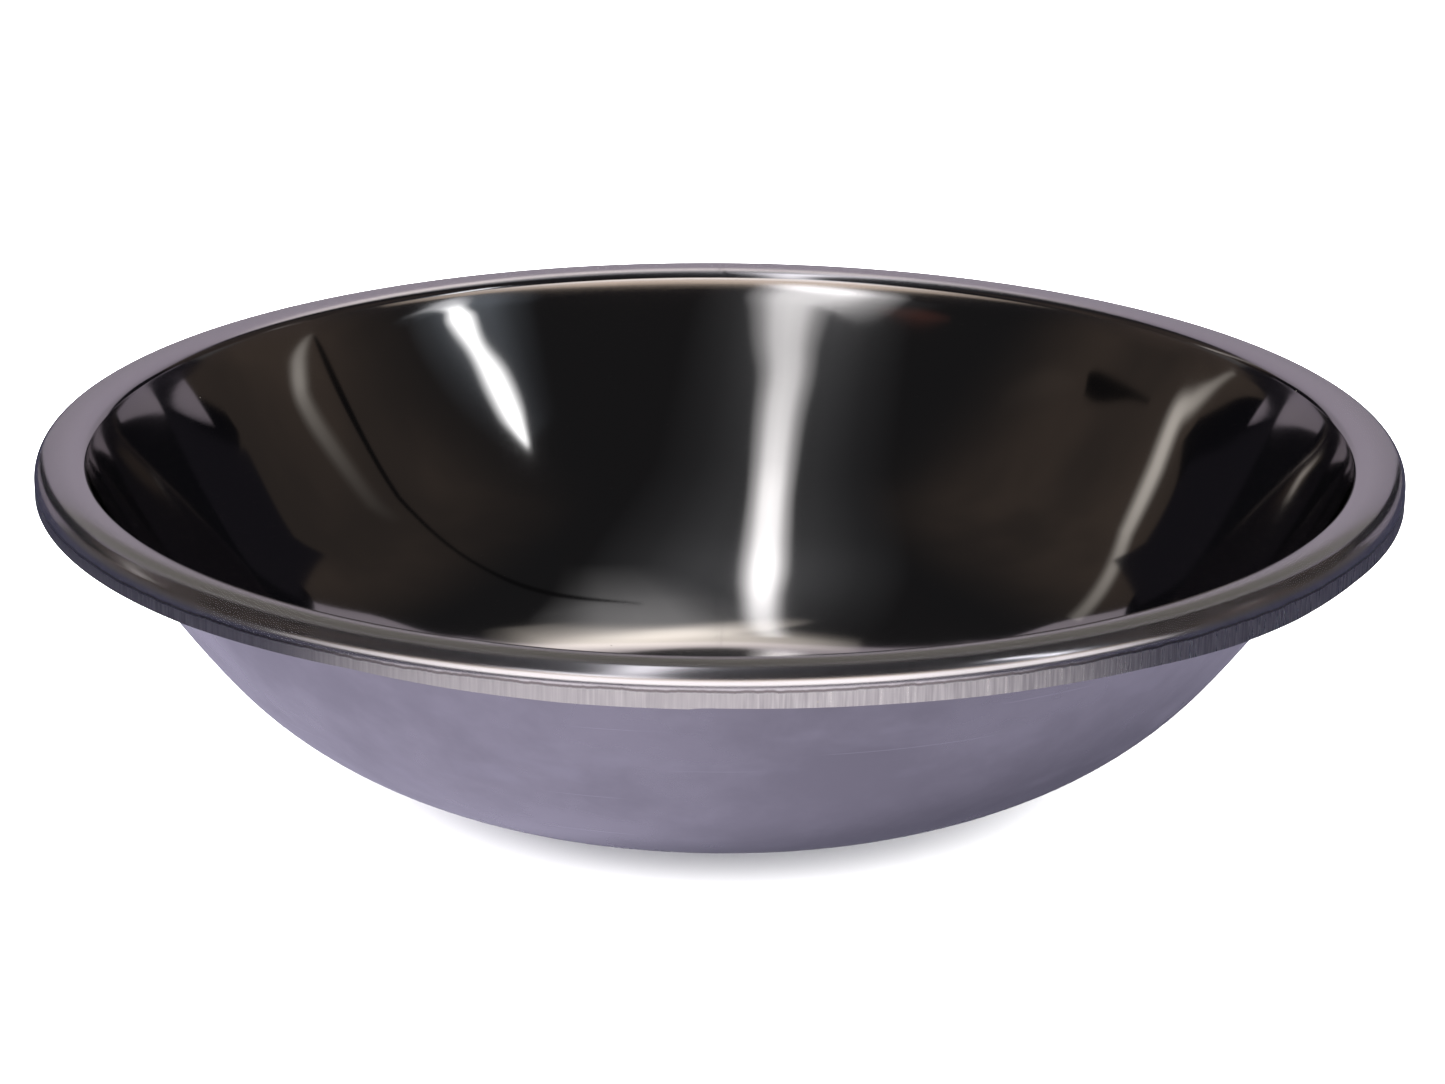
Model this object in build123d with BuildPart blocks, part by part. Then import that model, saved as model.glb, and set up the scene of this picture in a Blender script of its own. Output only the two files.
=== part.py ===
from build123d import *
import os
from math import radians, sin

# Mixing bowl drawn from one sheet: a flat base, a floor that rises gently to a curved wall, an
# inner bend, a convex flange, a rounded outer shoulder and a skirt turned straight down.
# Millimetres, +Z up. The origin is the centre of the underside of the base, and the bowl is
# round about Z.

# Sizes. Radii and slopes are those of the polished face, which is the inside of the bowl, the
# top of the flange and the outside of the skirt. Slopes are in degrees above level, going outward.
outer_radius = 200.0
sheet_thickness = 0.8
base_slope = 0.0
floor_radius = 166.0
floor_slope = 20.0
corner_radius = 108.0
corner_slope = 50.5
wall_radius = 272.0
wall_slope = 64.0
bend_radius = 3.0
flange_inner_slope = 20.5
flange_radius = 18.0
flange_outer_slope = -8.0
shoulder_radius = 5.3
skirt_slope = -90.0
skirt_height = 5.5

# The arcs of the polished face from the base outward, each with its radius, the slope where it
# starts and the slope where it ends. Each arc leaves the one before it without a corner.
face_arcs = [
    (floor_radius, base_slope, floor_slope),
    (corner_radius, floor_slope, corner_slope),
    (wall_radius, corner_slope, wall_slope),
    (bend_radius, wall_slope, flange_inner_slope),
    (flange_radius, flange_inner_slope, flange_outer_slope),
    (shoulder_radius, flange_outer_slope, skirt_slope),
]


def reach(radius, start_slope, end_slope):
    """How far out an arc goes while its slope changes from start_slope to end_slope."""
    return radius * abs(sin(radians(end_slope)) - sin(radians(start_slope)))


# The flat of the base takes up what the arcs leave of the outer radius.
base_radius = outer_radius - sum(reach(*arc) for arc in face_arcs)

with BuildPart() as bowl_shell:
    with BuildSketch(Plane.XZ) as section:
        with BuildLine() as sheet_line:
            stretch = Line((0, sheet_thickness), (base_radius, sheet_thickness))
            for radius, start_slope, end_slope in face_arcs:
                stretch = JernArc(stretch @ 1, stretch % 1, radius, end_slope - start_slope)
            Line(stretch @ 1, stretch @ 1 - (0, skirt_height))
            offset(amount=sheet_thickness, side=Side.RIGHT)
        make_face()
    revolve(axis=Axis.Z)
bowl_shell.part.label = "bowl_shell"

os.makedirs("parts", exist_ok=True)
export_step(bowl_shell.part, "parts/bowl_shell.step")

size = bowl_shell.part.bounding_box().size
print(f"bowl_shell {size.X:.1f} x {size.Y:.1f} x {size.Z:.1f} mm, base radius {base_radius:.1f} mm")
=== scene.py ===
from itertools import count
from math import cos, degrees, pi, radians, sin, tan

import bpy
from mathutils import Matrix, Vector


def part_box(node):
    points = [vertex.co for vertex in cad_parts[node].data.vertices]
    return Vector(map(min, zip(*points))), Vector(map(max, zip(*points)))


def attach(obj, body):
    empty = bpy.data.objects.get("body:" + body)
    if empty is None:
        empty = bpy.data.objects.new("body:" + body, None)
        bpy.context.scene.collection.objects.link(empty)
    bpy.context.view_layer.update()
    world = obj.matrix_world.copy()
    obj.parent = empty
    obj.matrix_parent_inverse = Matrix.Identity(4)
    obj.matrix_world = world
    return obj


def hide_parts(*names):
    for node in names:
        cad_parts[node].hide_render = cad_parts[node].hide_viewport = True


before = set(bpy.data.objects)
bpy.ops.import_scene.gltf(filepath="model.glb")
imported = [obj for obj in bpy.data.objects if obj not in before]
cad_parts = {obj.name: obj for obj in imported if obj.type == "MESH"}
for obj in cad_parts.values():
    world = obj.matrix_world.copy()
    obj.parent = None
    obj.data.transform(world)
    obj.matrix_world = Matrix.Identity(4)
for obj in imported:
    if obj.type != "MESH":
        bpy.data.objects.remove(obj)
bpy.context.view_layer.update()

# ---------------------------------------------------------------------------
# Sizes of the bowl, in metres and degrees. The overall radius and height come from the frame.
# The radii and slopes are those of the polished face: inside, flange top and skirt outside.
# ---------------------------------------------------------------------------
_, shell_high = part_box("bowl_shell")
OUTER_RADIUS = shell_high.x
HEIGHT = shell_high.z
SHEET = 0.0008
FLOOR_RADIUS, FLOOR_SLOPE = 0.166, 20.0
CORNER_RADIUS, CORNER_SLOPE = 0.108, 50.5
WALL_RADIUS, WALL_SLOPE = 0.272, 64.0
BEND_RADIUS, FLANGE_INNER_SLOPE = 0.003, 20.5
FLANGE_RADIUS, FLANGE_OUTER_SLOPE = 0.018, -8.0
SHOULDER_RADIUS, SKIRT_SLOPE = 0.0053, -90.0
SKIRT_HEIGHT = 0.0055
ARCS = [
    # radius, slope at its start, slope at its end, rings along it, crowding of rings to its end
    (FLOOR_RADIUS, 0.0, FLOOR_SLOPE, 8, 1.0),
    (CORNER_RADIUS, FLOOR_SLOPE, CORNER_SLOPE, 14, 1.0),
    (WALL_RADIUS, CORNER_SLOPE, WALL_SLOPE, 22, 2.2),
    (BEND_RADIUS, WALL_SLOPE, FLANGE_INNER_SLOPE, 10, 1.0),
    (FLANGE_RADIUS, FLANGE_INNER_SLOPE, FLANGE_OUTER_SLOPE, 12, 1.0),
    (SHOULDER_RADIUS, FLANGE_OUTER_SLOPE, SKIRT_SLOPE, 16, 1.0),
]
SKIRT_RINGS = 4
BASE_RINGS = 5
AROUND = 512
POLISHED, SATIN = 0, 1

# The faint neck below the inner bend: distances below the bend, and how far the sheet stands out.
NECK = [(0.0, 0.0), (0.0010, 0.00010), (0.0018, 0.00014), (0.0027, 0.00016), (0.0042, 0.00022),
        (0.0080, 0.00024), (0.0180, 0.00015), (0.0300, 0.00005), (0.0450, 0.0)]
# The trimmed edge of the skirt: turn from the front in degrees, and millimetres lower than drawn.
TRIM = [(-180.0, -0.3), (-60.0, -1.3), (-45.0, -1.2), (-28.0, -2.0), (-20.0, -1.2), (-11.0, -0.5),
        (-1.8, -0.4), (-1.6, -0.8), (12.0, -0.5), (20.0, -0.1), (33.0, 0.0), (42.0, 0.8), (50.0, 0.8),
        (60.0, -0.2), (180.0, -0.3)]
MILLIMETRE = 0.001
RIPPLE, RIPPLES_AROUND = 0.00006, 11.0
BURR_AT, BURR_HALF_WIDTH, BURR_DROP = -1.7, 0.4, 0.0004
# The radii between which the sheet is wavy, and the distance over which that fades at each end.
WAVY_FROM, WAVY_TO, WAVY_FADE = 0.05, 0.18, 0.02


def read_off(table, place):
    """The value at a place in a table of places and values, on straight lines between them."""
    for (before, value), (after, next_value) in zip(table, table[1:]):
        if place <= after:
            return value + (next_value - value) * (place - before) / (after - before)
    return table[-1][1]


def face_profile():
    """Radius, height and slope of points along the polished face, from the base outward."""
    base_radius = OUTER_RADIUS - sum(
        radius * abs(sin(radians(end)) - sin(radians(start))) for radius, start, end, _, _ in ARCS
    )
    points = [(base_radius * i / BASE_RINGS, SHEET, 0.0) for i in range(1, BASE_RINGS + 1)]
    for radius, start, end, rings, crowding in ARCS:
        at_radius, at_height, _ = points[-1]
        bend = 1.0 if end > start else -1.0
        for i in range(1, rings + 1):
            slope = end - (end - start) * (1.0 - i / rings) ** crowding
            out = bend * radius * (sin(radians(slope)) - sin(radians(start)))
            rise = bend * radius * (cos(radians(start)) - cos(radians(slope)))
            if radius == WALL_RADIUS:
                out += read_off(NECK, radians(end - slope) * radius)
            points.append((at_radius + out, at_height + rise, slope))
    at_radius, at_height, slope = points[-1]
    for i in range(1, SKIRT_RINGS + 1):
        points.append((at_radius, at_height - SKIRT_HEIGHT * i / SKIRT_RINGS, slope))
    return points


FACE = face_profile()
SKIRT_TOP = FACE[-1 - SKIRT_RINGS][1]


def skirt_drop(turn):
    """How much lower than drawn the trimmed edge hangs, at a turn measured from the front."""
    drop = MILLIMETRE * read_off(TRIM, degrees(turn)) + RIPPLE * sin(RIPPLES_AROUND * turn)
    burr = max(0.0, 1.0 - abs(degrees(turn) - BURR_AT) / BURR_HALF_WIDTH)
    return drop + BURR_DROP * burr


def waviness(turn, radius):
    """Slight hand-polished waviness of the sheet, along its normal."""
    broad = 0.00005 * sin(2.0 * turn + 0.5) * sin(radius / 0.031)
    fine = 0.000018 * sin(7.0 * turn + radius / 0.012)
    share = min(1.0, (radius - WAVY_FROM) / WAVY_FADE, (WAVY_TO - radius) / WAVY_FADE)
    return (broad + fine) * max(0.0, share)


def shell_vertices(loop):
    """The points of the rings round the bowl. The rings on the skirt carry its trimmed edge."""
    face_count = len(FACE)
    vertices = []
    for ring, (radius, height, slope) in enumerate(loop):
        along = ring if ring < face_count else 2 * face_count - 1 - ring
        on_skirt = max(0, along - (face_count - 1 - SKIRT_RINGS)) / SKIRT_RINGS
        for step in range(AROUND):
            turn = -pi + 2.0 * pi * step / AROUND
            off = waviness(turn, radius)
            r = radius - off * sin(radians(slope))
            z = height + off * cos(radians(slope)) - on_skirt * skirt_drop(turn)
            vertices.append((r * sin(turn), -r * cos(turn), z))
    return vertices


def build_shell():
    """The sheet as one closed mesh: up the polished face, round the trimmed edge and back."""
    under = [
        (radius + SHEET * sin(radians(slope)), height - SHEET * cos(radians(slope)), slope)
        for radius, height, slope in FACE
    ]
    loop = FACE + under[::-1]
    face_count = len(FACE)
    vertices = shell_vertices(loop)
    faces, slots = [], []
    for ring in range(len(loop) - 1):
        for step in range(AROUND):
            after = (step + 1) % AROUND
            a, b = ring * AROUND + step, ring * AROUND + after
            faces.append((a, b, b + AROUND, a + AROUND))
            slots.append(POLISHED if ring < face_count else SATIN)

    top_centre = len(vertices)
    under_centre = top_centre + 1
    vertices += [(0.0, 0.0, SHEET), (0.0, 0.0, 0.0)]
    last = (len(loop) - 1) * AROUND
    for step in range(AROUND):
        after = (step + 1) % AROUND
        faces.append((top_centre, after, step))
        slots.append(POLISHED)
        faces.append((last + step, last + after, under_centre))
        slots.append(SATIN)

    mesh = bpy.data.meshes.new("bowl_sheet")
    mesh.from_pydata(vertices, [], faces)
    mesh.polygons.foreach_set("material_index", slots)
    mesh.polygons.foreach_set("use_smooth", [True] * len(faces))
    mesh.update()
    trimmed = range((face_count - 1) * AROUND, (face_count + 1) * AROUND)
    for edge in mesh.edges:
        if edge.vertices[0] in trimmed and edge.vertices[1] in trimmed:
            edge.use_edge_sharp = True
    sheet = bpy.data.objects.new("bowl_sheet", mesh)
    bpy.context.scene.collection.objects.link(sheet)
    return sheet


# ---------------------------------------------------------------------------
# Materials. All patterns run on the object's own x, y and z, and on its distance from its axis.
# ---------------------------------------------------------------------------
# The numbers of a mix node's sockets where it mixes colours.
COLOUR_A, COLOUR_B, COLOUR_OUT = 6, 7, 2


class Surface:
    """A material and short names for the nodes that make its patterns."""

    def __init__(self, name):
        self.material = bpy.data.materials.new(name)
        self.material.use_nodes = True
        self.nodes = self.material.node_tree.nodes
        self.links = self.material.node_tree.links
        self.shader = self.nodes["Principled BSDF"]
        self.place = self.nodes.new("ShaderNodeTexCoord").outputs["Object"]
        split = self.nodes.new("ShaderNodeSeparateXYZ")
        self.links.new(self.place, split.inputs[0])
        self.x, self.y, self.z = split.outputs
        squares = self.math("ADD", self.times(self.x, self.x), self.times(self.y, self.y))
        self.radius = self.math("SQRT", squares)

    def put(self, value, socket):
        """Set a socket to a plain value, or link a pattern to it."""
        if isinstance(value, (int, float, tuple)):
            socket.default_value = value
        else:
            self.links.new(value, socket)

    def math(self, operation, first, second=0.0):
        node = self.nodes.new("ShaderNodeMath")
        node.operation = operation
        self.put(first, node.inputs[0])
        self.put(second, node.inputs[1])
        return node.outputs[0]

    def times(self, first, second):
        return self.math("MULTIPLY", first, second)

    def vector(self, x, y, z):
        node = self.nodes.new("ShaderNodeCombineXYZ")
        for value, socket in zip((x, y, z), node.inputs):
            self.put(value, socket)
        return node.outputs[0]

    def stretched(self, across, up):
        """The place with x and y multiplied by across, and z by up."""
        return self.vector(self.times(self.x, across), self.times(self.y, across),
                           self.times(self.z, up))

    def noise(self, vector, scale, detail=2.0, roughness=0.5):
        node = self.nodes.new("ShaderNodeTexNoise")
        self.put(vector, node.inputs["Vector"])
        node.inputs["Scale"].default_value = scale
        node.inputs["Detail"].default_value = detail
        node.inputs["Roughness"].default_value = roughness
        return node.outputs[0]

    def between(self, value, low, high, out_low=0.0, out_high=1.0):
        """A value carried smoothly from the range low..high to the range out_low..out_high."""
        node = self.nodes.new("ShaderNodeMapRange")
        node.interpolation_type = "SMOOTHSTEP"
        for given, socket in zip((value, low, high, out_low, out_high), node.inputs):
            self.put(given, socket)
        return node.outputs[0]

    def mix(self, factor, first, second):
        """A blend of two numbers."""
        node = self.nodes.new("ShaderNodeMix")
        self.put(factor, node.inputs["Factor"])
        self.put(first, node.inputs["A"])
        self.put(second, node.inputs["B"])
        return node.outputs["Result"]

    def mix_colours(self, factor, first, second):
        """A blend of two colours."""
        node = self.nodes.new("ShaderNodeMix")
        node.data_type = "RGBA"
        self.put(factor, node.inputs["Factor"])
        self.put(first, node.inputs[COLOUR_A])
        self.put(second, node.inputs[COLOUR_B])
        return node.outputs[COLOUR_OUT]

    def bump(self, height, distance, normal=None):
        node = self.nodes.new("ShaderNodeBump")
        node.inputs["Distance"].default_value = distance
        self.put(height, node.inputs["Height"])
        if normal is not None:
            self.links.new(normal, node.inputs["Normal"])
        return node.outputs[0]

    def turned_lines(self, per_metre):
        """Fine lines round the bowl, broken up a little along their length."""
        along = 9.0
        outward = self.math("ADD", self.times(self.radius, per_metre), self.times(self.x, along))
        lines = self.vector(outward, self.times(self.z, per_metre), self.times(self.y, along))
        return self.noise(lines, 1.0, detail=3.0, roughness=0.7)

    def scratches(self, turn, per_metre, rarity):
        """Sparse hairline marks that lie one way, at a turn in degrees from the x axis."""
        along, softness = 9.0, 0.03
        mapping = self.nodes.new("ShaderNodeMapping")
        mapping.inputs["Rotation"].default_value = (0.0, radians(turn), 0.0)
        mapping.inputs["Scale"].default_value = (along, along, per_metre)
        self.links.new(self.place, mapping.inputs["Vector"])
        marks = self.noise(mapping.outputs[0], 1.0, detail=1.0, roughness=0.4)
        return self.between(marks, rarity, rarity + softness)

    def specks(self, per_metre, share, size):
        """Dust grains: small dots in a share of the cells of a grid of points."""
        core = 0.4
        node = self.nodes.new("ShaderNodeTexVoronoi")
        node.inputs["Scale"].default_value = per_metre
        self.links.new(self.place, node.inputs["Vector"])
        split = self.nodes.new("ShaderNodeSeparateColor")
        self.links.new(node.outputs["Color"], split.inputs[0])
        chosen = self.math("LESS_THAN", split.outputs[0], share)
        return self.times(chosen, self.between(node.outputs["Distance"], size, core * size))


# The radius where the flange begins, just outside the inner bend.
FLANGE_FROM = OUTER_RADIUS - 0.0132


def skirt_masks(steel):
    """Where the skirt is, below an upper edge that wanders, and the dark line along that edge."""
    wander = steel.noise(steel.stretched(90.0, 0.0), 1.0, detail=4.0, roughness=0.65)
    edge_height = steel.between(wander, 0.25, 0.75, SKIRT_TOP - 0.0009, SKIRT_TOP - 0.0003)
    above_edge = steel.math("SUBTRACT", steel.z, edge_height)
    outside = steel.between(steel.radius, OUTER_RADIUS - 0.0035, OUTER_RADIUS - 0.0020)
    on_skirt = steel.times(outside, steel.between(above_edge, 0.0003, -0.0003))
    from_line = steel.math("ABSOLUTE", steel.math("SUBTRACT", above_edge, 0.00030))
    edge_line = steel.times(outside, steel.between(from_line, 0.00060, 0.0001))
    return on_skirt, edge_line


def drawing_marks(steel):
    """Upright marks that the drawing tool left, in patches and stronger at the right."""
    marks = steel.noise(steel.stretched(900.0, 55.0), 1.0, detail=2.0, roughness=0.7)
    patchy = steel.noise(steel.place, 16.0, detail=2.0, roughness=0.5)
    patches = steel.between(patchy, 0.40, 0.62, 0.15, 0.7)
    at_right = steel.between(steel.x, 0.03, 0.09, 0.0, 0.8)
    return steel.mix(steel.math("ADD", patches, at_right), 0.5, marks)


def polished_colour(steel, clouds, on_flange, on_skirt, edge_line, marks, dust):
    """The steel's tint: warm inside, and darker on the front of the flange, where shade is painted into
    the colour.
    """
    inside_pale, inside_dark = (0.66, 0.63, 0.61, 1.0), (0.56, 0.54, 0.54, 1.0)
    # The second flange colour is painted shade for the front of the flange.
    flange_pale, flange_painted_shade = (0.66, 0.63, 0.67, 1.0), (0.52, 0.495, 0.49, 1.0)
    marks_dark, marks_pale = (0.42, 0.40, 0.43, 1.0), (0.68, 0.66, 0.67, 1.0)
    line_dark, dust_pale = (0.10, 0.08, 0.08, 1.0), (0.62, 0.58, 0.52, 1.0)
    on_shoulder = steel.between(steel.radius, OUTER_RADIUS - 0.0052, OUTER_RADIUS - 0.0040)
    # Painted shade: the front of the flange gets a darker colour, fading in from y = -0.05 to -0.16 m
    # and kept off the shoulder.
    painted_front_shade = steel.math("SUBTRACT", steel.between(steel.y, -0.05, -0.16), on_shoulder)
    painted_front_shade = steel.math("MAXIMUM", painted_front_shade, 0.0)
    inside = steel.mix_colours(clouds, inside_pale, inside_dark)
    flange = steel.mix_colours(painted_front_shade, flange_pale, flange_painted_shade)
    skirt = steel.mix_colours(steel.between(marks, 0.30, 0.70), marks_dark, marks_pale)
    colour = steel.mix_colours(on_flange, inside, flange)
    colour = steel.mix_colours(on_skirt, colour, skirt)
    colour = steel.mix_colours(steel.times(edge_line, 0.75), colour, line_dark)
    return steel.mix_colours(dust, colour, dust_pale)


def polished_material():
    """Mirror inside, satin on the flange, and scuffed with upright drawing marks on the skirt."""
    steel = Surface("polished_steel")
    on_flange = steel.between(steel.radius, FLANGE_FROM - 0.0045, FLANGE_FROM + 0.0005)
    on_skirt, edge_line = skirt_masks(steel)
    marks = drawing_marks(steel)
    clouds = steel.noise(steel.place, 14.0, detail=4.0, roughness=0.6)
    dust = steel.specks(85.0, share=0.16, size=0.030)
    colour = polished_colour(steel, clouds, on_flange, on_skirt, edge_line, marks, dust)
    steel.put(colour, steel.shader.inputs["Base Color"])

    inside_rough = steel.between(clouds, 0.2, 0.8, 0.045, 0.075)
    rough = steel.mix(on_flange, inside_rough, steel.between(clouds, 0.2, 0.8, 0.15, 0.20))
    rough = steel.mix(on_skirt, rough, steel.between(marks, 0.2, 0.8, 0.38, 0.24))
    rough = steel.mix(dust, rough, 0.7)
    steel.put(rough, steel.shader.inputs["Roughness"])
    scuffed = steel.between(steel.radius, FLANGE_FROM, FLANGE_FROM + 0.004, 0.0, 0.004)
    dulled = steel.math("MAXIMUM", scuffed, steel.times(dust, 0.06))
    steel.put(steel.math("SUBTRACT", 1.0, dulled), steel.shader.inputs["Metallic"])

    normal = steel.bump(steel.turned_lines(1500.0), 0.0000007)
    normal = steel.bump(steel.times(marks, on_skirt), 0.000030, normal)
    steel.put(normal, steel.shader.inputs["Normal"])
    steel.shader.inputs["Anisotropic"].default_value = 0.5
    steel.shader.inputs["Anisotropic Rotation"].default_value = 0.25
    tangent = steel.nodes.new("ShaderNodeTangent")
    tangent.direction_type = "RADIAL"
    tangent.axis = "Z"
    steel.put(tangent.outputs[0], steel.shader.inputs["Tangent"])
    return steel.material


def satin_material():
    """The outside and underside: dull drawn steel with smudges, turned lines and scratches."""
    steel = Surface("satin_steel")
    clean, smudged = (0.60, 0.575, 0.585, 1.0), (0.49, 0.47, 0.485, 1.0)
    wiped_pale, scratch_pale = (0.66, 0.64, 0.67, 1.0), (0.80, 0.78, 0.80, 1.0)
    smudges = steel.noise(steel.place, 17.0, detail=5.0, roughness=0.62)
    wiped = steel.noise(steel.stretched(0.45, 1.0), 60.0, detail=3.0, roughness=0.6)
    scratched = steel.math("MAXIMUM", steel.scratches(52.0, 900.0, rarity=0.735),
                           steel.scratches(-35.0, 700.0, rarity=0.75))
    colour = steel.mix_colours(steel.between(smudges, 0.36, 0.66), clean, smudged)
    colour = steel.mix_colours(steel.between(wiped, 0.52, 0.72, 0.0, 0.5), colour, wiped_pale)
    colour = steel.mix_colours(steel.times(scratched, 0.45), colour, scratch_pale)
    steel.put(colour, steel.shader.inputs["Base Color"])
    rough = steel.between(smudges, 0.3, 0.7, 0.24, 0.34)
    rough = steel.mix(steel.between(wiped, 0.5, 0.72), rough, 0.40)
    steel.put(rough, steel.shader.inputs["Roughness"])
    steel.shader.inputs["Metallic"].default_value = 1.0
    normal = steel.bump(steel.turned_lines(420.0), 0.000012)
    normal = steel.bump(scratched, -0.000015, normal)
    steel.put(normal, steel.shader.inputs["Normal"])
    return steel.material


bowl = build_shell()
bowl.data.materials.append(polished_material())
bowl.data.materials.append(satin_material())
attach(bowl, "root")
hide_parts("bowl_shell")

# ---------------------------------------------------------------------------
# Camera, as fitted to the outline of the bowl in the photograph
# ---------------------------------------------------------------------------
CAMERA_DISTANCE = 1.200
CAMERA_ELEVATION = radians(17.19)
ROLL = radians(0.39)
SENSOR_WIDTH, LENS = 36.0, 101.4
rim_centre = Vector((0.0, 0.0, HEIGHT))
toward_camera = Vector((0.0, -cos(CAMERA_ELEVATION), sin(CAMERA_ELEVATION)))
camera_at = rim_centre + CAMERA_DISTANCE * toward_camera
look_at = rim_centre + Vector((0.00086, 0.0, -0.0342))
camera_data = bpy.data.cameras.new("camera")
camera_data.sensor_width = SENSOR_WIDTH
camera_data.lens = LENS
camera = bpy.data.objects.new("camera", camera_data)
bpy.context.scene.collection.objects.link(camera)
forward = (look_at - camera_at).normalized()
camera.matrix_world = (
    Matrix.Translation(camera_at)
    @ forward.to_track_quat("-Z", "Y").to_matrix().to_4x4()
    @ Matrix.Rotation(ROLL, 4, "Z")
)
bpy.context.scene.camera = camera

# ---------------------------------------------------------------------------
# What the polished steel reflects: glowing cards that only reflections see. Directions are an
# azimuth, 0 behind the bowl and +90 at its right, and an elevation. Places on the ceiling are x
# and y in multiples of the ceiling's height. A card called left or right is seen in that side of
# the bowl's inside, except for the two walls, which stand on the side that they are called.
# ---------------------------------------------------------------------------
CEILING = 2.5
LAYER = 0.01
layers = count()
ROOM_RADIUS = 12.0
STAGE_RADIUS = 30.0
CURVE_STEPS = 6
BAND_ROWS = 6
# Places across a ribbon, in half widths from its middle, and the share of its glow there.
ACROSS = [(-1.0, 0.0), (-0.62, 0.35), (-0.3, 0.9), (0.0, 1.0), (0.3, 0.9), (0.62, 0.35), (1.0, 0.0)]


def glow_material(name, colour, strength, added, one_sided):
    """Emission times the mesh's glow attribute, added to what is behind it or seen from one side."""
    material = bpy.data.materials.new(name)
    material.use_nodes = True
    nodes, links = material.node_tree.nodes, material.node_tree.links
    nodes.clear()
    glow = nodes.new("ShaderNodeAttribute")
    glow.attribute_name = "glow"
    power = nodes.new("ShaderNodeMath")
    power.operation = "MULTIPLY"
    power.inputs[1].default_value = strength
    links.new(glow.outputs["Fac"], power.inputs[0])
    emission = nodes.new("ShaderNodeEmission")
    emission.inputs["Color"].default_value = (*colour, 1.0)
    links.new(power.outputs[0], emission.inputs["Strength"])
    result = emission.outputs[0]
    if added:
        through = nodes.new("ShaderNodeBsdfTransparent")
        both = nodes.new("ShaderNodeAddShader")
        links.new(emission.outputs[0], both.inputs[0])
        links.new(through.outputs[0], both.inputs[1])
        result = both.outputs[0]
    if one_sided:
        through = nodes.new("ShaderNodeBsdfTransparent")
        geometry = nodes.new("ShaderNodeNewGeometry")
        either = nodes.new("ShaderNodeMixShader")
        links.new(geometry.outputs["Backfacing"], either.inputs[0])
        links.new(emission.outputs[0], either.inputs[1])
        links.new(through.outputs[0], either.inputs[2])
        result = either.outputs[0]
    output = nodes.new("ShaderNodeOutputMaterial")
    links.new(result, output.inputs["Surface"])
    return material


def only_in_reflections(thing):
    thing.visible_camera = False
    thing.visible_diffuse = False
    thing.visible_shadow = False
    thing.visible_transmission = False
    thing.visible_volume_scatter = False


def glowing_mesh(name, points, faces, glows, colour, strength, added=False, one_sided=False):
    mesh = bpy.data.meshes.new(name)
    mesh.from_pydata(points, [], faces)
    glow = mesh.attributes.new("glow", "FLOAT", "POINT")
    glow.data.foreach_set("value", glows)
    mesh.materials.append(glow_material(name, colour, strength, added, one_sided))
    thing = bpy.data.objects.new(name, mesh)
    bpy.context.scene.collection.objects.link(thing)
    only_in_reflections(thing)


def grid_faces(rows, wide):
    """The faces between the points of a grid, which are listed row by row."""
    return [
        (a, a + 1, a + wide + 1, a + wide)
        for row in range(rows - 1)
        for a in range(row * wide, row * wide + wide - 1)
    ]


def catmull_rom(p, q, r, s, t):
    """The curve from q to r, with p before them and s after, at a share t of the way."""
    square = (2 * p - 5 * q + 4 * r - s) * t * t
    cube = (3 * q - p - 3 * r + s) * t ** 3
    return 0.5 * (2 * q + (r - p) * t + square + cube)


def smooth_line(stations):
    """More stations along a line, on a Catmull-Rom curve through the given ones."""
    padded = [stations[0], *stations, stations[-1]]
    line = []
    for four in zip(padded, padded[1:], padded[2:], padded[3:]):
        for i in range(CURVE_STEPS):
            line.append(tuple(catmull_rom(*values, i / CURVE_STEPS) for values in zip(*four)))
    line.append(stations[-1])
    return line


def ribbon(name, stations, colour, strength, added=True):
    """A soft-edged strip on the ceiling through stations of x, y, half width and glow.

    Each ribbon hangs one layer below the ribbon before it, so that none lies in another.
    """
    height = CEILING - LAYER * next(layers)
    line = smooth_line(stations)
    points, glows = [], []
    for i, (x, y, half_width, glow) in enumerate(line):
        before, after = line[max(0, i - 1)], line[min(len(line) - 1, i + 1)]
        along = Vector((after[0] - before[0], after[1] - before[1])).normalized()
        for offset, share in ACROSS:
            side = offset * half_width
            points.append(((x - along.y * side) * height, (y + along.x * side) * height, height))
            glows.append(max(0.0, glow) * (share if added else 1.0))
    faces = grid_faces(len(line), len(ACROSS))
    glowing_mesh(name, points, faces, glows, colour, strength, added)


def band(name, radius, columns, colour, strength):
    """An upright card round the bowl. Its columns are azimuth, lowest and highest elevation, glow."""
    line = smooth_line(columns)
    points, glows = [], []
    for azimuth, low, high, glow in line:
        for row in range(BAND_ROWS + 1):
            elevation = radians(low + (high - low) * row / BAND_ROWS)
            points.append((radius * sin(radians(azimuth)), radius * cos(radians(azimuth)),
                           HEIGHT + radius * tan(elevation)))
            glows.append(max(0.0, glow))
    faces = grid_faces(len(line), BAND_ROWS + 1)
    glowing_mesh(name, points, faces, glows, colour, strength)


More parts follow.
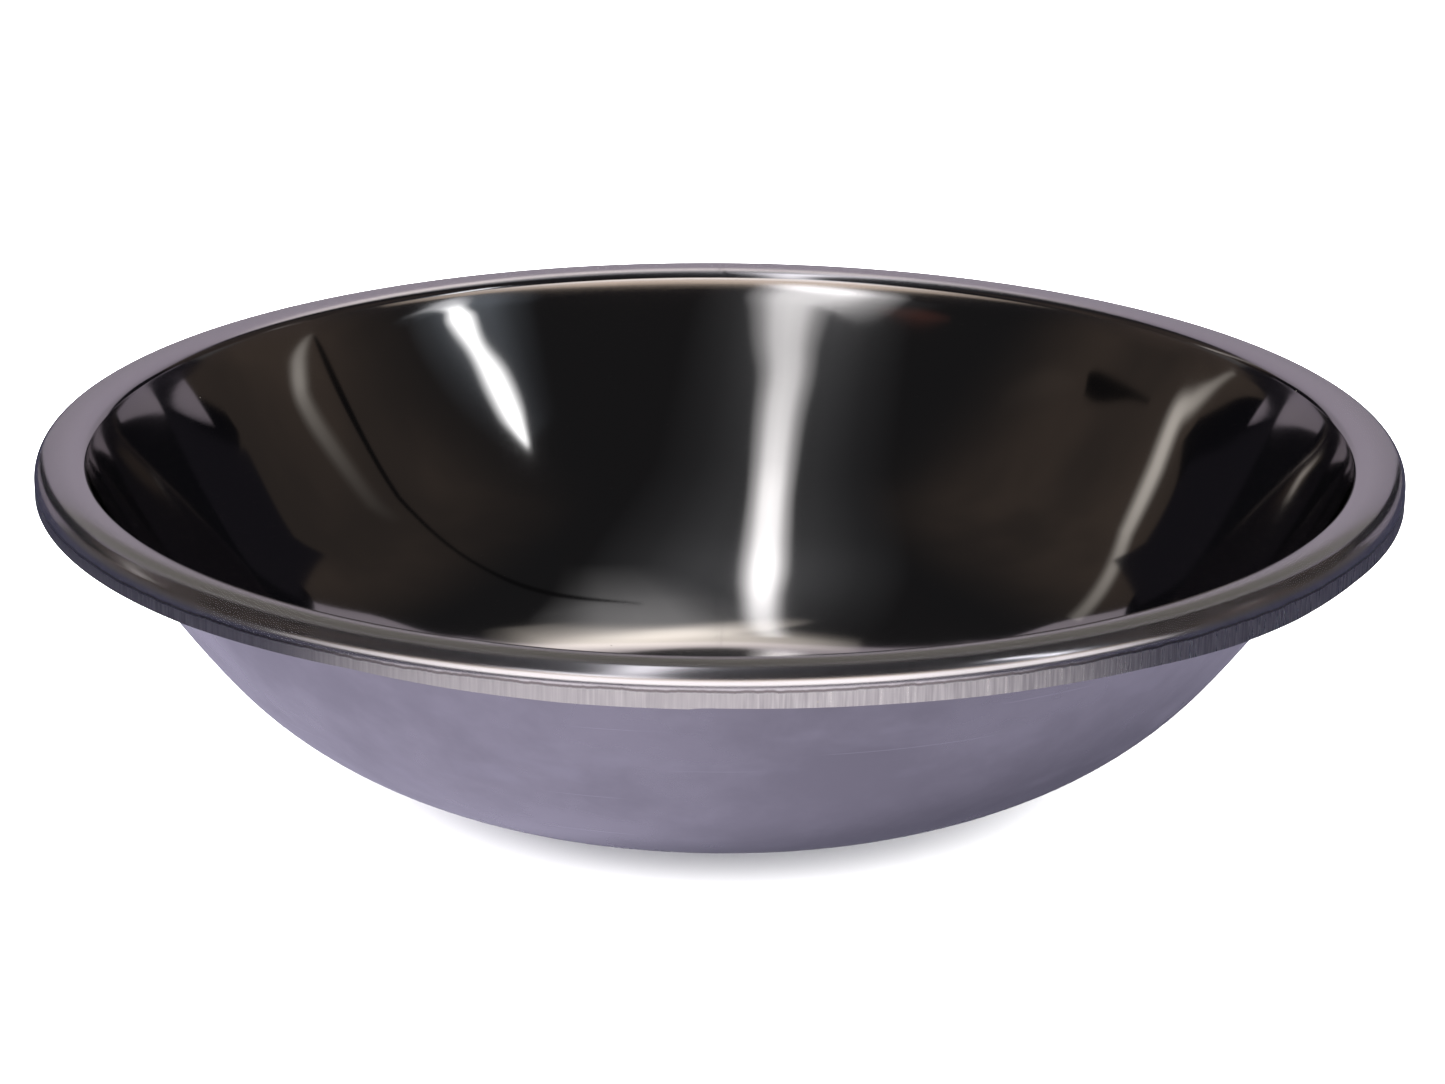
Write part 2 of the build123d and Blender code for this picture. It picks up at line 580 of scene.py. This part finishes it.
# The long softbox overhead and the lamp beside it, each with its halo.
ribbon("strip", [(-0.046, 1.00, 0.018, 0.5), (-0.045, 0.82, 0.024, 0.9), (-0.052, 0.59, 0.032, 1.3),
                 (-0.070, 0.33, 0.046, 1.5), (-0.097, 0.05, 0.056, 1.2), (-0.136, -0.24, 0.068, 1.1),
                 (-0.193, -0.56, 0.095, 0.80), (-0.238, -0.73, 0.120, 0.66), (-0.252, -0.85, 0.15, 0.62),
                 (-0.282, -0.98, 0.19, 0.68), (-0.318, -1.07, 0.25, 0.78), (-0.425, -1.16, 0.42, 0.85),
                 (-0.469, -1.23, 0.50, 1.5), (-0.50, -1.30, 0.50, 1.5)], (0.97, 0.98, 1.0), 1.5)
ribbon("strip_halo", [(0.0, 0.95, 0.16, 0.3), (-0.02, 0.6, 0.24, 0.8), (-0.06, 0.30, 0.30, 0.9),
                      (-0.10, 0.0, 0.34, 0.6), (-0.20, -0.5, 0.40, 0.5), (-0.36, -1.0, 0.50, 1.0),
                      (-0.50, -1.25, 0.7, 1.0)], (0.90, 0.94, 1.0), 0.08)
ribbon("lamp", [(0.635, -0.355, 0.015, 0.6), (0.68, -0.39, 0.04, 1.0), (0.735, -0.432, 0.07, 1.0),
                (0.83, -0.50, 0.08, 1.0), (0.97, -0.57, 0.065, 0.8), (1.12, -0.655, 0.10, 1.2),
                (1.24, -0.735, 0.09, 0.8), (1.36, -0.79, 0.20, 0.3), (1.48, -0.80, 0.32, 0.22)],
       (0.95, 0.98, 1.0), 2.8)
ribbon("lamp_halo", [(0.62, -0.40, 0.12, 0.2), (0.85, -0.53, 0.26, 0.6), (1.12, -0.72, 0.38, 1.2),
                     (1.24, -0.88, 0.42, 1.5), (1.50, -0.90, 0.50, 0.8)], (0.75, 0.86, 1.0), 0.12)
# Edges of doorways and walls at both sides.
ribbon("edge_right", [(-3.2, 1.62, 0.09, 0.25), (-2.52, 1.20, 0.08, 0.4), (-2.16, 0.94, 0.10, 0.7),
                      (-1.94, 0.78, 0.13, 1.0), (-1.64, 0.83, 0.14, 1.0), (-1.36, 0.90, 0.12, 0.7),
                      (-1.10, 0.98, 0.11, 0.55), (-0.70, 1.12, 0.10, 0.3)], (1.0, 0.97, 0.90), 0.55)
ribbon("edge_left", [(2.10, 0.04, 0.05, 0.2), (1.94, 0.20, 0.10, 0.8), (1.80, 0.34, 0.12, 1.0),
                     (1.66, 0.38, 0.10, 0.5), (1.3, 0.34, 0.08, 0.15), (0.9, 0.32, 0.06, 0.0)],
       (1.0, 0.98, 0.92), 0.30)
ribbon("edge_low", [(0.92, 1.44, 0.05, 0.6), (1.24, 1.53, 0.06, 1.0), (1.70, 1.66, 0.04, 0.4)],
       (1.0, 0.96, 0.92), 0.26)
# The top of the white sweep behind the bowl, and its glow on the ceiling.
ribbon("sweep_top", [(-0.12, 1.08, 0.12, 0.15), (0.00, 1.06, 0.20, 1.0), (0.07, 1.02, 0.28, 1.4),
                     (0.14, 0.97, 0.18, 0.5), (0.21, 0.90, 0.10, 0.1)], (1.0, 0.94, 0.86), 1.0)
ribbon("sweep_glow", [(0.06, 1.02, 0.14, 0.7), (0.08, 0.82, 0.14, 1.2), (0.12, 0.55, 0.12, 0.5),
                      (0.18, 0.30, 0.10, 0.0)], (0.97, 0.98, 1.0), 0.20)
# Dark cables and small marks on the ceiling.
ribbon("cable", [(0.09, 0.68, 0.004, 0.1), (0.20, 0.60, 0.014, 0.1), (0.48, 0.40, 0.008, 0.1),
                 (0.84, 0.24, 0.011, 0.1), (1.24, 0.15, 0.016, 0.1), (1.62, 0.09, 0.025, 0.1),
                 (2.0, 0.04, 0.010, 0.1)], (0.9, 0.9, 1.0), 0.05, added=False)
ribbon("notch", [(-1.78, 0.46, 0.01, 0.1), (-1.68, 0.28, 0.03, 0.1), (-1.52, 0.06, 0.07, 0.1),
                 (-1.46, -0.02, 0.05, 0.1)], (0.9, 0.9, 1.0), 0.05, added=False)
ribbon("brown_glow", [(-1.42, -0.06, 0.04, 0.3), (-1.26, -0.20, 0.10, 1.0), (-1.02, -0.30, 0.06, 0.2)],
       (1.0, 0.80, 0.65), 0.010)
ribbon("red_glow", [(-0.98, -0.74, 0.04, 0.3), (-0.84, -0.82, 0.09, 1.0), (-0.66, -0.92, 0.05, 0.3)],
       (1.0, 0.35, 0.25), 0.05)

# The bright side of the room behind the camera, with a warmer and dimmer part above it.
band("window", 3.2, [(106.0, 4.0, 12.0, 0.2), (114.0, 4.0, 19.0, 0.5), (124.0, 4.0, 21.0, 0.8),
                     (138.0, 4.0, 25.0, 0.8), (155.0, 4.0, 27.0, 1.0), (180.0, 4.0, 28.0, 1.0),
                     (205.0, 4.0, 27.0, 1.0), (222.0, 4.0, 24.0, 0.9), (236.0, 4.0, 19.0, 0.6),
                     (252.0, 4.0, 12.0, 0.2)], (1.0, 0.97, 0.94), 1.6)
band("window_top", 3.25, [(108.0, 10.0, 23.0, 0.2), (122.0, 18.0, 27.0, 0.6), (138.0, 22.0, 31.0, 0.7),
                          (155.0, 24.0, 34.0, 1.0), (180.0, 25.0, 35.3, 1.0), (205.0, 24.0, 34.0, 1.0),
                          (222.0, 20.0, 31.0, 0.7), (236.0, 16.0, 26.0, 0.4), (250.0, 10.0, 20.0, 0.2)],
     (1.0, 0.84, 0.68), 0.80)
# The white sweep behind the bowl with its low ends, the dark that borders it, and dim walls.
band("sweep", 3.4, [(-36.0, -3.0, 20.0, 0.8), (-32.0, -3.0, 37.0, 0.85), (-18.0, -3.0, 41.0, 0.9),
                    (0.0, -3.0, 42.0, 1.15), (18.0, -3.0, 41.0, 0.9), (32.0, -3.0, 37.0, 0.85),
                    (36.0, -3.0, 20.0, 0.8)], (0.95, 0.86, 0.98), 0.32)
band("sweep_left", 3.3, [(30.0, -3.0, 3.0, 0.8), (36.0, -3.0, 6.6, 0.85), (45.0, -3.0, 12.3, 1.0),
                         (54.0, -3.0, 18.2, 1.0)], (0.95, 0.84, 0.98), 0.215)
band("sweep_right", 3.3, [(-50.0, -3.0, 15.6, 1.0), (-42.0, -3.0, 10.8, 1.0), (-36.0, -3.0, 7.0, 0.9),
                          (-30.0, -3.0, 3.4, 0.85)], (0.95, 0.84, 0.98), 0.215)
band("dark_left", 3.35, [(27.0, -3.0, 25.0, 1.0), (35.0, 4.0, 28.5, 1.0), (41.0, 8.0, 26.0, 1.0),
                         (48.0, 12.0, 22.0, 1.0), (55.0, 17.0, 21.5, 1.0), (58.5, 20.0, 21.5, 1.0)],
     (0.75, 0.75, 1.0), 0.006)
band("dark_right", 3.35, [(-62.0, 22.0, 24.0, 1.0), (-55.0, 16.0, 24.2, 1.0), (-48.0, 12.0, 24.8, 1.0),
                          (-40.0, 8.0, 27.0, 1.0), (-34.0, 3.0, 28.0, 1.0), (-27.0, -3.0, 25.0, 1.0)],
     (0.75, 0.75, 1.0), 0.006)
band("wall_left", 3.6, [(-112.0, -6.0, 16.0, 1.0), (-90.0, -6.0, 14.0, 0.6), (-62.0, -6.0, 12.0, 0.7),
                        (-38.0, -6.0, 10.0, 1.0)], (1.0, 0.96, 0.93), 0.12)
band("wall_right", 3.6, [(38.0, -6.0, 10.0, 1.0), (62.0, -6.0, 12.0, 0.7), (90.0, -6.0, 13.0, 0.5),
                         (112.0, -6.0, 14.0, 0.8)], (1.0, 0.96, 0.93), 0.10)


def dark_flag():
    """A small dark card above the far rim, which the second reflections at both sides meet."""
    near, far = 0.165, 0.218
    low, high = HEIGHT + 0.011, HEIGHT + 0.039
    corners = [(0.0, near, low), (0.0, far, low), (0.0, far, high), (0.0, near, high)]
    glowing_mesh("dark_flag", corners, [(0, 1, 2, 3)], [1.0] * 4, (0.8, 0.75, 1.0), 0.012)


def dim_overhead():
    """A dim card over the bowl, turned to the back, which only the front of the flange reflects."""
    half_width, back = 0.24, 0.05
    low, high = HEIGHT + 0.05, HEIGHT + 0.55
    corners = [(-half_width, back, low), (half_width, back, low),
               (half_width, back, high), (-half_width, back, high)]
    glows = [2.2, 2.2, 0.4, 0.4]
    glowing_mesh("dim_overhead", corners, [(0, 1, 2, 3)], glows, (1.0, 0.96, 0.88), 0.085,
                 one_sided=True)


def emit(pattern, colour):
    """Turn a pattern's material into a plain glow of that colour."""
    pattern.nodes.remove(pattern.shader)
    emission = pattern.nodes.new("ShaderNodeEmission")
    pattern.put(colour, emission.inputs["Color"])
    output = pattern.nodes["Material Output"]
    pattern.links.new(emission.outputs[0], output.inputs["Surface"])
    return pattern.material


def dark_room():
    """The unlit room, brownish at both sides and blue-black overhead and toward the camera."""
    unlit, brownish = (0.0125, 0.0125, 0.0135, 1.0), (0.054, 0.042, 0.035, 1.0)
    bpy.ops.mesh.primitive_uv_sphere_add(segments=64, ring_count=32, radius=ROOM_RADIUS)
    thing = bpy.context.object
    thing.name = "dark_room"
    room = Surface("dark_room")
    from_middle = room.math("ABSOLUTE", room.x)
    sideways = room.between(from_middle, 0.30 * ROOM_RADIUS, 0.68 * ROOM_RADIUS)
    rearward = room.between(room.y, -0.40 * ROOM_RADIUS, 0.05 * ROOM_RADIUS)
    patches = room.noise(room.place, 0.16, detail=3.0, roughness=0.5)
    uneven = room.between(patches, 0.3, 0.7, 0.45, 1.1)
    brown = room.times(room.times(sideways, rearward), uneven)
    thing.data.materials.append(emit(room, room.mix_colours(brown, unlit, brownish)))
    only_in_reflections(thing)


def add_disc(name, height):
    bpy.ops.mesh.primitive_circle_add(vertices=128, radius=STAGE_RADIUS, fill_type="NGON",
                                      location=(0, 0, height))
    disc = bpy.context.object
    disc.name = name
    return disc


def table_in_steel():
    """The table as the steel shows it: pale in front, and lavender-grey in the bowl's own shade."""
    unlit, shaded, lit = (0.05, 0.05, 0.08, 1.0), (0.60, 0.57, 0.76, 1.0), (1.0, 0.95, 0.98, 1.0)
    above_floor, shade_lean, lit_shift = 0.0004, 0.32, 0.02
    thing = add_disc("table_in_steel", above_floor)
    table = Surface("table_in_steel")
    leftward = table.between(table.x, 0.10, -0.12, 0.50, 0.76)
    from_centre = table.math("SUBTRACT", table.radius, table.times(table.x, shade_lean))
    near_edge = table.between(from_centre, 0.095, 0.132, 0.35, 1.0)
    far_edge = table.between(table.radius, 0.34, 0.24)
    in_shade = table.times(leftward, table.times(near_edge, far_edge))
    in_front = table.between(table.y, -0.20, -0.30)
    not_far = table.between(table.y, -0.95, -0.60, 0.30, 1.0)
    from_middle = table.math("ABSOLUTE", table.math("ADD", table.x, lit_shift))
    in_light = table.times(table.times(in_front, not_far), table.between(from_middle, 0.40, 0.22))
    colour = table.mix_colours(in_light, table.mix_colours(in_shade, unlit, shaded), lit)
    thing.data.materials.append(emit(table, colour))
    only_in_reflections(thing)


dark_flag()
dim_overhead()
dark_room()
table_in_steel()

# ---------------------------------------------------------------------------
# Floor and light
# ---------------------------------------------------------------------------
WORLD_STRENGTH = 7.0
KEY_ENERGY = 40.0
KEY_SIZE = (2.4, 1.4)
KEY_AT = Vector((-0.6, -2.2, 2.0))
KEY_AIM = Vector((0.0, 0.0, 0.1))

floor = add_disc("floor", 0.0)
pale = Surface("pale_floor")
paper = pale.noise(pale.place, 3.0, detail=3.0, roughness=0.6)
paper_colour = pale.mix_colours(paper, (0.88, 0.88, 0.89, 1.0), (0.90, 0.90, 0.91, 1.0))
pale.put(paper_colour, pale.shader.inputs["Base Color"])
pale.shader.inputs["Roughness"].default_value = 0.9
pale.shader.inputs["Specular IOR Level"].default_value = 0.0
floor.data.materials.append(pale.material)

world = bpy.data.worlds.new("studio")
world.use_nodes = True
background = world.node_tree.nodes["Background"]
background.inputs["Color"].default_value = (1.0, 1.0, 1.0, 1.0)
background.inputs["Strength"].default_value = WORLD_STRENGTH
world.cycles_visibility.glossy = False
bpy.context.scene.world = world

key_data = bpy.data.lights.new("key", "AREA")
key_data.shape = "RECTANGLE"
key_data.size, key_data.size_y = KEY_SIZE
key_data.energy = KEY_ENERGY
key_data.color = (1.0, 0.98, 0.95)
key = bpy.data.objects.new("key", key_data)
key.location = KEY_AT
key.rotation_euler = (KEY_AIM - KEY_AT).to_track_quat("-Z", "Y").to_euler()
key.visible_glossy = False
key.visible_camera = False
bpy.context.scene.collection.objects.link(key)

bpy.context.scene.view_settings.view_transform = "Standard"
